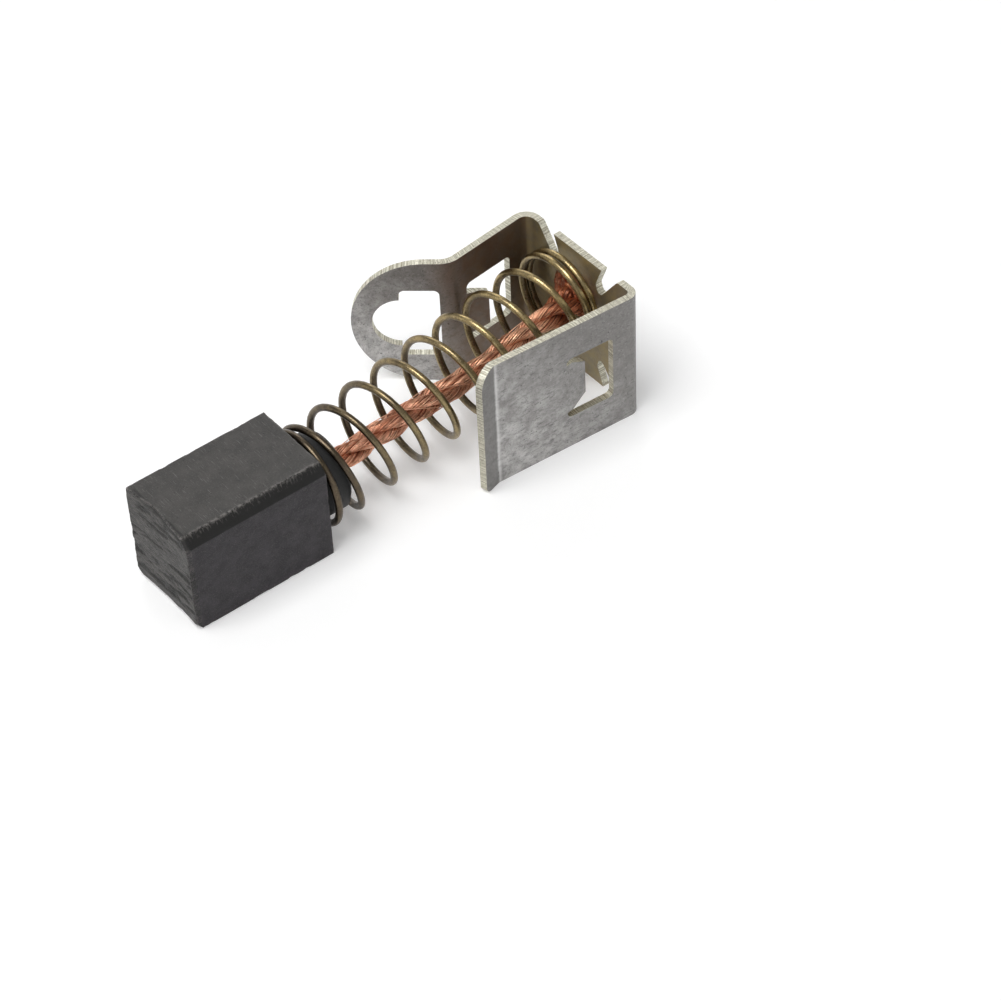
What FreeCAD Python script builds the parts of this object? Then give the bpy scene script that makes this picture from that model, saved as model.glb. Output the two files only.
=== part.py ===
import FreeCAD, Part
import math
import os
import Sketcher
from FreeCAD import Placement, Rotation, Vector

# Carbon brush with its folded terminal clip, lying as it comes to rest on a table.
# Millimetres. +X runs from the contact face towards the clip's web, +Z is up.
# The origin is the centre of the web's rear face. The clip stands on its long edges and the
# carbon lies on its lower side, so the spring and the copper rope climb a little to the web.

os.makedirs("parts", exist_ok=True)
doc = FreeCAD.newDocument("carbon_brush")

# Driving dimensions
SIZES = [
    ("block_length", 10.4),
    ("block_width", 6.5),
    ("block_height", 7.5),
    ("block_chamfer", 0.65),
    ("face_radius", 38.0),
    ("face_edge_radius", 0.4),
    ("boss_radius", 2.75),
    ("boss_length", 2.2),
    ("boss_chamfer", 0.25),
    ("bore_radius", 1.15),
    ("bore_depth", 6.0),
    ("free_length", 22.6),
    ("sheet", 0.5),
    ("clip_height", 10.0),
    ("clip_width", 11.5),
    ("tongue_bend_radius", 0.65),
    ("plain_bend_radius", 0.3),
    ("lead_in_bend_radius", 0.65),
    ("flap_bend_radius", 1.2),
    ("plain_toe", 3.7),
    ("plain_length", 11.35),
    ("lead_in_length", 1.3),
    ("lead_in_angle", 20.0),
    ("plain_corner_top", 1.3),
    ("plain_corner_low", 0.5),
    ("tongue_toe", 6.3),
    ("tongue_plate_length", 7.3),
    ("tongue_angle", 47.0),
    ("tongue_length", 6.45),
    ("window_start", 2.27),
    ("plain_window_length", 3.6),
    ("tongue_window_length", 3.9),
    ("window_height", 4.9),
    ("window_corner", 0.35),
    ("lance_length", 1.7),
    ("plain_lance_root", 4.0),
    ("tongue_lance_root", 3.4),
    ("lance_tip", 2.6),
    ("plain_lance_angle", 12.0),
    ("tongue_lance_angle", 24.0),
    ("key_start", 0.57),
    ("key_slot_length", 2.66),
    ("key_slot_height", 5.5),
    ("key_round_radius", 1.95),
    ("key_corner", 0.4),
    ("web_tab_width", 4.8),
    ("web_tab_neck", 3.6),
    ("web_tab_neck_depth", 1.5),
    ("web_notch_foot", 4.2),
    ("web_notch_depth", 2.45),
    ("web_notch_span", 7.9),
    ("web_notch_round", 0.3),
    ("wire_diameter", 0.48),
    ("coil_radius", 3.25),
    ("closed_pitch", 0.53),
    ("block_end_turns", 1.25),
    ("open_turns", 7.75),
    ("web_end_turns", 2.0),
    ("spring_start_angle", -78.0),
    ("seat_side_shift", 1.0),
    ("seat_rise", 0.95),
    ("rope_radius", 0.8),
    ("rope_lay", 8.1),
    ("rope_depth", 5.0),
    ("rope_sag", 0.45),
    ("rope_end_rise", 1.1),
    ("rope_start_angle", 40.0),
    ("weld_radius", 1.9),
    ("weld_side_shift", 0.45),
    ("weld_rise", 1.4),
    ("weld_height", 0.8),
    ("weld_edge", 0.35),
    ("running_clearance", 0.03),
]
sheet = doc.addObject("Spreadsheet::Sheet", "Sizes")
for row, (alias, value) in enumerate(SIZES, start=1):
    sheet.set(f"A{row}", alias)
    sheet.set(f"B{row}", str(value))
    sheet.setAlias(f"B{row}", alias)
doc.recompute()


def size(alias):
    """A driving dimension as a plain number."""
    return float(getattr(sheet, alias))


def bound(text):
    """An expression in which each @word is a cell of the sheet."""
    return text.replace("@", "Sizes.")


def number(text):
    """The present value of such an expression."""
    return float(sheet.evalExpression(bound(text)))


def bind(thing, name, text):
    """Tie a property of an object to the sheet."""
    thing.setExpression(name, bound(text))


def origin_plane(body, role):
    """One of a body's own base planes, found by its role."""
    return next(f for f in body.Origin.OriginFeatures if f.Role == role)


def new_body(name):
    body = doc.addObject("PartDesign::Body", name)
    body.Label = name
    return body


def new_sketch(body, name, role, base=("0", "0", "0"), axis=Vector(0, 0, 1), angle="0"):
    """A sketch on a base plane of its body, moved by base and turned by angle about axis."""
    sketch = body.newObject("Sketcher::SketchObject", name)
    sketch.AttachmentSupport = [(origin_plane(body, role), "")]
    sketch.MapMode = "FlatFace"
    at = Vector(*(number(text) for text in base))
    sketch.AttachmentOffset = Placement(at, Rotation(axis, number(angle)))
    for letter, text in zip("xyz", base):
        if text != "0":
            bind(sketch, f"AttachmentOffset.Base.{letter}", text)
    if angle != "0":
        bind(sketch, "AttachmentOffset.Rotation.Angle", angle)
    return sketch


def place_point(sketch, geometry, corner, where):
    """Tie one point of a sketch to two expressions, across and up from the sketch's origin."""
    for kind, axis_line, text in (("DistanceX", -2, where[0]), ("DistanceY", -1, where[1])):
        if text == "0":
            sketch.addConstraint(Sketcher.Constraint("PointOnObject", geometry, corner, axis_line))
        else:
            index = sketch.addConstraint(
                Sketcher.Constraint(kind, -1, 1, geometry, corner, number(text))
            )
            bind(sketch, f"Constraints[{index}]", text)


def closed_outline(sketch, corners):
    """A closed run of straight lines through corners, each a pair of expressions."""
    points = [Vector(number(x), number(y), 0) for x, y in corners]
    count = len(points)
    first = sketch.GeometryCount
    for i in range(count):
        sketch.addGeometry(Part.LineSegment(points[i], points[(i + 1) % count]), False)
    for i in range(count):
        following = first + (i + 1) % count
        sketch.addConstraint(Sketcher.Constraint("Coincident", first + i, 2, following, 1))
    for i, corner in enumerate(corners):
        place_point(sketch, first + i, 1, corner)


def rectangle(sketch, low_x, high_x, low_y, high_y):
    closed_outline(
        sketch, [(low_x, low_y), (high_x, low_y), (high_x, high_y), (low_x, high_y)]
    )


def circle(sketch, centre, radius):
    index = sketch.addGeometry(
        Part.Circle(Vector(number(centre[0]), number(centre[1]), 0), Vector(0, 0, 1), number(radius)),
        False,
    )
    place_point(sketch, index, 3, centre)
    tie = sketch.addConstraint(Sketcher.Constraint("Radius", index, number(radius)))
    bind(sketch, f"Constraints[{tie}]", radius)


def extruded(body, kind, sketch, length, both_ways=False, backwards=False):
    """A Pad or a Pocket of a sketch."""
    feature = body.newObject(f"PartDesign::{kind}", f"{sketch.Name}_{kind.lower()}")
    feature.Profile = sketch
    bind(feature, "Length", length)
    if both_ways:
        feature.SideType = "Symmetric"
    feature.Reversed = backwards
    doc.recompute()
    return feature


def pocket(body, sketch, length):
    """A pocket cut both ways from its sketch, which has to take material away."""
    before = body.Shape.Volume
    feature = extruded(body, "Pocket", sketch, length, both_ways=True)
    if body.Shape.Volume > before - 1e-6:
        raise ValueError(f"{sketch.Name} cuts nothing")
    return feature


def dress(body, kind, name, amount, wanted):
    """A Fillet or a Chamfer on the edges of the body's tip that wanted() picks."""
    tip = body.Tip
    names = [f"Edge{i}" for i, edge in enumerate(tip.Shape.Edges, start=1) if wanted(edge)]
    if not names:
        raise ValueError(f"{name} finds no edge")
    feature = body.newObject(f"PartDesign::{kind}", name)
    feature.Base = (tip, names)
    bind(feature, "Radius" if kind == "Fillet" else "Size", amount)
    doc.recompute()
    return feature


def along(edge, direction):
    """Whether a straight edge runs along a direction."""
    if not isinstance(edge.Curve, (Part.Line, Part.LineSegment)):
        return False
    run = edge.Vertexes[-1].Point - edge.Vertexes[0].Point
    return run.Length > 1e-6 and abs(run.normalize().dot(direction)) > 1 - 1e-6


def middle(edge):
    return (edge.Vertexes[0].Point + edge.Vertexes[-1].Point) * 0.5


def at_plan(edge, x, y):
    """Whether an edge stands upright over the point x, y."""
    centre = middle(edge)
    return along(edge, Vector(0, 0, 1)) and math.hypot(centre.x - x, centre.y - y) < 1e-4


# Places that several pieces share
WEB_INNER = "-@sheet"
BLOCK_REAR = "-@sheet - @free_length"
BLOCK_FRONT = "-@sheet - @free_length - @block_length"
FLOOR = "-@clip_height / 2"
BLOCK_AXIS = "-@clip_height / 2 + @block_height / 2"


# Carbon block

def make_block():
    """A prism with two bevelled long edges, a round boss at the rear and a bore for the rope.

    The contact face is hollowed by a large cylinder that stands upright before it."""
    body = new_body("carbon_block")
    plan = new_sketch(body, "block_plan", "XY_Plane", ("0", "0", FLOOR))
    half = size("block_width") / 2
    centre_x = f"{BLOCK_FRONT} - sqrt(@face_radius ^ 2 - (@block_width / 2) ^ 2)"
    swing = math.asin(half / size("face_radius"))
    face = Part.Circle(Vector(number(centre_x), 0, 0), Vector(0, 0, 1), size("face_radius"))
    plan.addGeometry(Part.ArcOfCircle(face, -swing, swing), False)
    corners = [
        Vector(number(BLOCK_FRONT), half, 0),
        Vector(number(BLOCK_REAR), half, 0),
        Vector(number(BLOCK_REAR), -half, 0),
        Vector(number(BLOCK_FRONT), -half, 0),
    ]
    for start, end in zip(corners, corners[1:]):
        plan.addGeometry(Part.LineSegment(start, end), False)
    for first, second in ((0, 1), (1, 2), (2, 3)):
        plan.addConstraint(Sketcher.Constraint("Coincident", first, 2, second, 1))
    plan.addConstraint(Sketcher.Constraint("Coincident", 3, 2, 0, 1))
    place_point(plan, 0, 3, (centre_x, "0"))
    place_point(plan, 0, 2, (BLOCK_FRONT, "@block_width / 2"))
    place_point(plan, 1, 2, (BLOCK_REAR, "@block_width / 2"))
    plan.addConstraint(Sketcher.Constraint("Vertical", 2))
    plan.addConstraint(Sketcher.Constraint("Horizontal", 3))
    plan.addConstraint(Sketcher.Constraint("Vertical", 0, 1, 0, 2))
    extruded(body, "Pad", plan, "@block_height")
    axis_z = number(BLOCK_AXIS)

    def bevelled(edge):
        if not along(edge, Vector(1, 0, 0)):
            return False
        centre = middle(edge)
        return centre.y * (centre.z - axis_z) < 0

    dress(body, "Chamfer", "long_bevels", "@block_chamfer", bevelled)

    def low_front_edge(edge):
        centre = middle(edge)
        low = abs(centre.z - number(FLOOR)) < 1e-6
        return low and isinstance(edge.Curve, Part.Circle) and centre.x < number(BLOCK_REAR) - 1e-3

    dress(body, "Fillet", "worn_edge", "@face_edge_radius", low_front_edge)
    boss = new_sketch(body, "boss_section", "YZ_Plane", ("0", BLOCK_AXIS, BLOCK_REAR))
    circle(boss, ("0", "0"), "@boss_radius")
    extruded(body, "Pad", boss, "@boss_length")
    boss_end = number(BLOCK_REAR) + size("boss_length")

    def boss_rim(edge):
        return isinstance(edge.Curve, Part.Circle) and abs(edge.Curve.Center.x - boss_end) < 1e-6

    dress(body, "Chamfer", "boss_bevel", "@boss_chamfer", boss_rim)
    bore = new_sketch(
        body, "rope_bore", "YZ_Plane", ("0", BLOCK_AXIS, f"{BLOCK_REAR} + @boss_length")
    )
    circle(bore, ("0", "0"), "@bore_radius")
    before = body.Shape.Volume
    hole = body.newObject("PartDesign::Pocket", "rope_bore_pocket")
    hole.Profile = bore
    bind(hole, "Length", "@bore_depth")
    doc.recompute()
    if body.Shape.Volume > before - 1e-6:
        raise ValueError("the rope's bore cuts nothing")
    return body


def make_plug():
    """The tamped ring that holds the rope in the bore: outside the bore, inside the rope."""
    outer = doc.addObject("Part::Cylinder", "plug_outer")
    inner = doc.addObject("Part::Cylinder", "plug_inner")
    plug_front = f"{BLOCK_REAR} + @boss_length - @bore_depth"
    for solid, radius in ((outer, "@bore_radius"), (inner, "@rope_radius + @running_clearance")):
        bind(solid, "Radius", radius)
        bind(solid, "Height", "@bore_depth")
        bottom = Vector(number(plug_front), 0, number(BLOCK_AXIS))
        solid.Placement = Placement(bottom, Rotation(Vector(0, 1, 0), 90))
        bind(solid, "Placement.Base.x", plug_front)
        bind(solid, "Placement.Base.z", BLOCK_AXIS)
    # The ring has a floor as thick as the bore is deeper than the rope.
    bind(inner, "Placement.Base.x", f"{plug_front} + @bore_depth - @rope_depth")
    plug = doc.addObject("Part::Cut", "tamping_plug")
    plug.Label = "tamping_plug"
    plug.Base = outer
    plug.Tool = inner
    return plug


# Folded clip

def turned(angle):
    """Direction in plan at an angle from +X, as expressions."""
    return f"cos({angle})", f"sin({angle})"


# Direction in plan of each flat stretch of the strip, as an angle from +X
PLAIN_WAY = "(180 - @plain_toe)"
LEAD_IN_WAY = "(180 - @plain_toe + @lead_in_angle)"
TONGUE_WAY = "(180 + @tongue_toe)"
FLAP_WAY = "(180 + @tongue_toe - @tongue_angle)"
PLAIN_CORNER = ("0", "-@clip_width / 2")
TONGUE_CORNER = ("0", "@clip_width / 2")


def onward(start, way, distance):
    """The point at a distance from start along a direction in plan."""
    x, y = turned(way)
    return f"{start[0]} + ({distance}) * {x}", f"{start[1]} + ({distance}) * {y}"


def inside_corner(corner, way_in, way_out, side):
    """The corner of the strip's other face: a sheet's thickness square to both stretches."""
    half_turn = f"(({way_out}) - ({way_in})) / 2"
    middle_way = f"((({way_in}) + ({way_out})) / 2 + {90 * side})"
    reach = f"@sheet / cos({half_turn})"
    x, y = turned(middle_way)
    return f"{corner[0]} + {reach} * {x}", f"{corner[1]} + {reach} * {y}"


def strip_corners():
    """Outer and inner corners of the strip in plan, from the plain arm's tip to the flap's."""
    crease = onward(PLAIN_CORNER, PLAIN_WAY, "@plain_length")
    tip = onward(crease, LEAD_IN_WAY, "@lead_in_length")
    flap_crease = onward(TONGUE_CORNER, TONGUE_WAY, "@tongue_plate_length")
    flap_tip = onward(flap_crease, FLAP_WAY, "@tongue_length")
    outer = [tip, crease, PLAIN_CORNER, TONGUE_CORNER, flap_crease, flap_tip]
    # Ways walked from the tip: back along the arm, up the web, out along the tongue arm.
    ways = [
        f"({LEAD_IN_WAY} - 180)",
        f"({PLAIN_WAY} - 180)",
        "90",
        TONGUE_WAY,
        FLAP_WAY,
    ]
    inner = [onward(tip, f"({ways[0]} + 90)", "@sheet")]
    for i in range(1, 5):
        inner.append(inside_corner(outer[i], ways[i - 1], ways[i], 1))
    inner.append(onward(flap_tip, f"({ways[4]} + 90)", "@sheet"))
    return outer, inner


def arm_sketch(body, name, corner, way, distance="0", turn="0"):
    """A sketch on an arm's outer face: across runs along way in plan, up is +Z.

    It starts at a distance from corner and is turned by turn more."""
    base = onward(corner, way, distance) if distance != "0" else corner
    # The XZ plane's normal is -Y, so its third offset is minus the place in Y.
    return new_sketch(
        body,
        name,
        "XZ_Plane",
        (base[0], "0", f"-({base[1]})"),
        Vector(0, 1, 0),
        f"{way} + ({turn})" if turn != "0" else way,
    )


def lance(body, name, corner, way, window_length, bend, backwards):
    """The tongue lanced from a window, hinged at its carbon side and bent inwards."""
    hinge = f"@window_start + {window_length}"
    sketch = arm_sketch(body, name, corner, way, hinge, f"180 + ({bend})")
    closed_outline(
        sketch,
        [
            ("0", f"-@{name}_root / 2"),
            ("@sheet", f"-@{name}_root / 2"),
            ("@lance_length", "-@lance_tip / 2"),
            ("@lance_length", "@lance_tip / 2"),
            ("@sheet", f"@{name}_root / 2"),
            ("0", f"@{name}_root / 2"),
        ],
    )
    return extruded(body, "Pad", sketch, "@sheet", backwards=backwards)


def hole_corner(place, height):
    """Picks a hole's edges through the sheet at a place in plan, above and below its middle."""
    x, y = number(place[0]), number(place[1])
    level = number(height)

    def wanted(edge):
        centre = middle(edge)
        near = math.hypot(centre.x - x, centre.y - y) < size("sheet") * 0.75
        return near and abs(abs(centre.z) - level) < 1e-4 and abs(edge.Length - size("sheet")) < 1e-3

    return wanted


def make_clip():
    """A strip folded to a U, with a lead-in at one arm's tip and an outward flap on the other."""
    body = new_body("clip")
    outer, inner = strip_corners()
    plan = new_sketch(body, "strip_plan", "XY_Plane")
    closed_outline(plan, outer + inner[::-1])
    extruded(body, "Pad", plan, "@clip_height", both_ways=True)

    # Folds: the hollow side has the bend's radius, the other side a sheet more.
    for name, hollow, back in (
        ("lead_in", outer[1], inner[1]),
        ("plain", inner[2], outer[2]),
        ("tongue", inner[3], outer[3]),
        ("flap", outer[4], inner[4]),
    ):
        for face, radius, fold in (
            ("hollow", f"@{name}_bend_radius", hollow),
            ("back", f"@{name}_bend_radius + @sheet", back),
        ):
            x, y = (number(text) for text in fold)
            dress(body, "Fillet", f"{name}_{face}", radius, lambda edge: at_plan(edge, x, y))

    # The flap's end is round over the whole height of the strip.
    flap_tip = Vector(number(outer[5][0]), number(outer[5][1]), 0)
    plain_tip = Vector(number(outer[0][0]), number(outer[0][1]), 0)
    half = size("clip_height") / 2

    def corner_of(tip, heights):
        def wanted(edge):
            centre = middle(edge)
            near = Vector(centre.x - tip.x, centre.y - tip.y, 0).Length < size("sheet")
            level = any(abs(centre.z - height) < 1e-4 for height in heights)
            return near and level and abs(edge.Length - size("sheet")) < 1e-4

        return wanted

    dress(body, "Fillet", "flap_round", "@clip_height / 2 - 0.01", corner_of(flap_tip, (-half, half)))
    dress(body, "Fillet", "plain_top_corner", "@plain_corner_top", corner_of(plain_tip, (half,)))
    dress(body, "Fillet", "plain_low_corner", "@plain_corner_low", corner_of(plain_tip, (-half,)))

    # A window in each arm, with rounded corners
    windows = (
        ("plain_window", PLAIN_CORNER, PLAIN_WAY, "@plain_window_length"),
        ("tongue_window", TONGUE_CORNER, TONGUE_WAY, "@tongue_window_length"),
    )
    for name, corner, way, length in windows:
        sketch = arm_sketch(body, name, corner, way)
        rectangle(
            sketch,
            "@window_start",
            f"@window_start + {length}",
            "-@window_height / 2",
            "@window_height / 2",
        )
        pocket(body, sketch, "@sheet * 4")
        for end, place in (("web", "@window_start"), ("hinge", f"@window_start + {length}")):
            wanted = hole_corner(onward(corner, way, place), "@window_height / 2")
            dress(body, "Fillet", f"{name}_{end}_round", "@window_corner", wanted)

    # The keyhole in the flap: a wide slot by the crease and a round end
    flap_crease = outer[4]
    slot = arm_sketch(body, "key_slot", flap_crease, FLAP_WAY)
    rectangle(
        slot,
        "@key_start",
        "@key_start + @key_slot_length",
        "-@key_slot_height / 2",
        "@key_slot_height / 2",
    )
    pocket(body, slot, "@sheet * 4")
    for name, distance in (("crease", "@key_start"), ("tip", "@key_start + @key_slot_length")):
        wanted = hole_corner(onward(flap_crease, FLAP_WAY, distance), "@key_slot_height / 2")
        dress(body, "Fillet", f"key_{name}_round", "@key_corner", wanted)
    round_end = arm_sketch(body, "key_round", flap_crease, FLAP_WAY)
    circle(round_end, ("@key_start + @key_slot_length - @sheet / 5", "0"), "@key_round_radius")
    pocket(body, round_end, "@sheet * 4")

    # Two notches in each long edge of the web leave a tab that widens to its tip.
    for name, side in (("top", 1), ("low", -1)):
        edge = f"{side} * @clip_height / 2"

        def at_depth(depth):
            return f"{side} * (@clip_height / 2 - {depth})"

        for hand, way in (("plain", -1), ("tongue", 1)):
            notch = new_sketch(body, f"web_notch_{name}_{hand}", "YZ_Plane")
            closed_outline(
                notch,
                [
                    (f"{way} * @web_tab_width / 2", f"{edge} + {side}"),
                    (f"{way} * @web_tab_width / 2", edge),
                    (f"{way} * @web_tab_neck / 2", at_depth("@web_tab_neck_depth")),
                    (f"{way} * @web_notch_foot / 2", at_depth("@web_notch_depth")),
                    (f"{way} * @web_notch_span / 2", edge),
                    (f"{way} * @web_notch_span / 2", f"{edge} + {side}"),
                ],
            )
            pocket(body, notch, "@sheet * 4")

    def notch_edge(edge):
        centre = middle(edge)
        on_web = along(edge, Vector(1, 0, 0)) and centre.x > number(WEB_INNER)
        places = [
            (number("@web_tab_neck / 2"), number("@clip_height / 2 - @web_tab_neck_depth")),
            (number("@web_notch_foot / 2"), number("@clip_height / 2 - @web_notch_depth")),
            (number("@web_notch_span / 2"), number("@clip_height / 2")),
        ]
        near = any(math.hypot(abs(centre.y) - y, abs(centre.z) - z) < 1e-3 for y, z in places)
        return on_web and near

    dress(body, "Fillet", "notch_rounds", "@web_notch_round", notch_edge)
    plain_hinge, tongue_hinge = (length for _, _, _, length in windows)
    lance(body, "plain_lance", PLAIN_CORNER, PLAIN_WAY, plain_hinge, "@plain_lance_angle", True)
    lance(body, "tongue_lance", TONGUE_CORNER, TONGUE_WAY, tongue_hinge, "-@tongue_lance_angle", False)
    return body


# Spring and rope

def eased(t, ramp=0.12):
    """0 to 1 along a straight climb whose two ends, each a share ramp long, are eased in."""
    slope = 1 / (1 - ramp)
    if t < ramp:
        return slope * t * t / (2 * ramp), slope * t / ramp
    if t > 1 - ramp:
        rest = 1 - t
        return 1 - slope * rest * rest / (2 * ramp), slope * rest / ramp
    return slope * (t - ramp / 2), slope


def climb(t, length, shift, height):
    """Sideways place and slope of the line from the carbon's axis to a seat on the web."""
    share, slope = eased(min(max(t, 0), 1))
    rise = height - number(BLOCK_AXIS)
    return (
        shift * share,
        number(BLOCK_AXIS) + rise * share,
        shift * slope / length,
        rise * slope / length,
    )


def ring_point(x, across, up, slope_y, slope_z, radius, angle):
    """A point at a radius and angle round a line whose direction is 1, slope_y, slope_z."""
    way = Vector(1, slope_y, slope_z).normalize()
    side = (Vector(0, 1, 0) - way * way.y).normalize()
    above = way.cross(side)
    return Vector(x, across, up) + side * (radius * math.cos(angle)) + above * (radius * math.sin(angle))


def tube(points, radius):
    """A wire of eight flats along points, ruled from ring to ring, with a round wire's area."""
    sides = 8
    reach = radius * math.sqrt(2 * math.pi / sides / math.sin(2 * math.pi / sides))
    rings = []
    for i, point in enumerate(points):
        way = (points[min(i + 1, len(points) - 1)] - points[max(i - 1, 0)]).normalize()
        across = Vector(1, 0, 0).cross(way).normalize()
        above = way.cross(across)
        corners = []
        for k in range(sides):
            angle = 2 * math.pi * (k + 0.5) / sides
            corners.append(point + across * (reach * math.cos(angle)) + above * (reach * math.sin(angle)))
        rings.append(Part.makePolygon(corners + corners[:1]))
    return Part.makeLoft(rings, True, True)


def smooth_step(t):
    t = min(max(t, 0), 1)
    return t * t * (3 - 2 * t)


def make_spring():
    """A round wire coil, close wound at both seats, right-handed, bent along the climb."""
    wire = size("wire_diameter")
    first = number(BLOCK_REAR) + wire / 2 + size("running_clearance")
    last = number(WEB_INNER) - wire / 2 - size("running_clearance")
    length = last - first
    turns = size("block_end_turns") + size("open_turns") + size("web_end_turns")
    closed = size("closed_pitch")
    steps_a_turn = 24
    count = int(round(turns * steps_a_turn))
    blend = 0.4

    def openness(turn):
        """0 in the close turns and 1 in the open ones, with a short passage between."""
        opening = smooth_step((turn - size("block_end_turns")) / blend + 0.5)
        closing = smooth_step((turns - size("web_end_turns") - turn) / blend + 0.5)
        return opening * closing

    turn_list = [turns * i / count for i in range(count + 1)]
    shares = [0.0]
    for a, b in zip(turn_list, turn_list[1:]):
        shares.append(shares[-1] + (b - a) * openness((a + b) / 2))
    open_pitch = (length - closed * turns) / shares[-1] + closed
    print("open pitch", round(open_pitch, 3), "turns", turns)
    points = []
    for turn, share in zip(turn_list, shares):
        along_x = closed * turn + (open_pitch - closed) * share
        place = climb(along_x / length, length, size("seat_side_shift"), size("seat_rise"))
        angle = math.radians(size("spring_start_angle")) + 2 * math.pi * turn
        points.append(ring_point(first + along_x, *place, size("coil_radius"), angle))
    solid = tube(points, wire / 2)
    spring = doc.addObject("Part::Feature", "spring")
    spring.Label = "spring"
    spring.Shape = solid
    spring.Placement = Placement()
    return spring


def make_rope():
    """Three strands laid right-handed into a rope, from the bore to the weld on the web."""
    outer = size("rope_radius")
    # Three equal strands that touch: the rope's radius is a strand's times 1 + 2 / sqrt 3.
    strand = outer / (1 + 2 / math.sqrt(3)) * 0.955
    lay_radius = outer - strand
    # A strand's end is square to the strand, so its rim reaches a little past its centre.
    lay_slope = 2 * math.pi * lay_radius / size("rope_lay")
    end_gap = strand * math.sin(math.atan(lay_slope)) + size("running_clearance")
    first = number(BLOCK_REAR) + size("boss_length") - size("rope_depth") + end_gap
    last = number(WEB_INNER) - size("weld_height") - end_gap
    climb_length = size("free_length") - size("boss_length") - size("weld_height")
    climb_start = number(BLOCK_REAR) + size("boss_length")
    steps = int(round((last - first) / size("rope_lay") * 16))
    solids = []
    for strand_number in range(3):
        points = []
        for i in range(steps + 1):
            x = first + (last - first) * i / steps
            t = (x - climb_start) / climb_length
            across, up, slope_y, slope_z = climb(t, climb_length, 0, size("rope_end_rise"))
            # It hangs lowest a little nearer to the web than half way.
            sag = size("rope_sag") * math.sin(math.pi * min(max(t, 0), 1) ** 1.5) ** 2
            angle = math.radians(size("rope_start_angle") + 120 * strand_number)
            angle += 2 * math.pi * (x - first) / size("rope_lay")
            points.append(ring_point(x, across, up - sag, slope_y, slope_z, lay_radius, angle))
        solids.append(tube(points, strand))
    rope = doc.addObject("Part::Feature", "shunt_rope")
    rope.Label = "shunt_rope"
    rope.Shape = Part.makeCompound(solids)
    rope.Placement = Placement()
    return rope


def make_weld():
    """The rope's end, splayed and welded flat on the web inside the last coils."""
    button = doc.addObject("Part::Cylinder", "weld_button")
    bind(button, "Radius", "@weld_radius")
    bind(button, "Height", "@weld_height")
    button.Placement = Placement(
        Vector(number(WEB_INNER), size("weld_side_shift"), size("weld_rise")),
        Rotation(Vector(0, 1, 0), -90),
    )
    bind(button, "Placement.Base.x", WEB_INNER)
    bind(button, "Placement.Base.y", "@weld_side_shift")
    bind(button, "Placement.Base.z", "@weld_rise")
    doc.recompute()
    top = number(WEB_INNER) - size("weld_height")
    rim = [
        i
        for i, edge in enumerate(button.Shape.Edges, start=1)
        if isinstance(edge.Curve, Part.Circle) and abs(edge.Curve.Center.x - top) < 1e-6
    ]
    weld = doc.addObject("Part::Chamfer", "shunt_weld")
    weld.Label = "shunt_weld"
    weld.Base = button
    weld.Edges = [(i, size("weld_edge"), size("weld_edge")) for i in rim]
    return weld


pieces = [make_block(), make_plug(), make_clip(), make_spring(), make_rope(), make_weld()]
doc.recompute()

for thing in doc.Objects:
    if any(word in thing.State for word in ("Invalid", "Error")):
        raise RuntimeError(f"{thing.Name} is {thing.State}")
for piece in pieces:
    if piece.Shape.isNull() or not piece.Shape.isValid():
        raise RuntimeError(f"{piece.Label} has no valid shape")

for piece in pieces:
    piece.Shape.exportStep(f"parts/{piece.Label}.step")
    box = piece.Shape.BoundBox
    low = tuple(round(v, 3) for v in (box.XMin, box.YMin, box.ZMin))
    high = tuple(round(v, 3) for v in (box.XMax, box.YMax, box.ZMax))
    print(piece.Label, len(piece.Shape.Solids), round(piece.Shape.Volume, 3), low, high)
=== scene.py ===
# %% [markdown]
# # A carbon brush, dressed for the camera
#
# A carbon brush carries current into the turning part of a motor. A block of pressed
# graphite is pushed against the commutator by a coil spring, a soft copper rope brings the
# current to it, and a folded clip of plated sheet holds both at the rear.
# The shapes that fix the sizes are already in the frame that is loaded here. This file adds
# what a photograph shows beyond them: wires, wear, grain and finish. Lengths are in metres.

# %% Load the frame
import math

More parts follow.
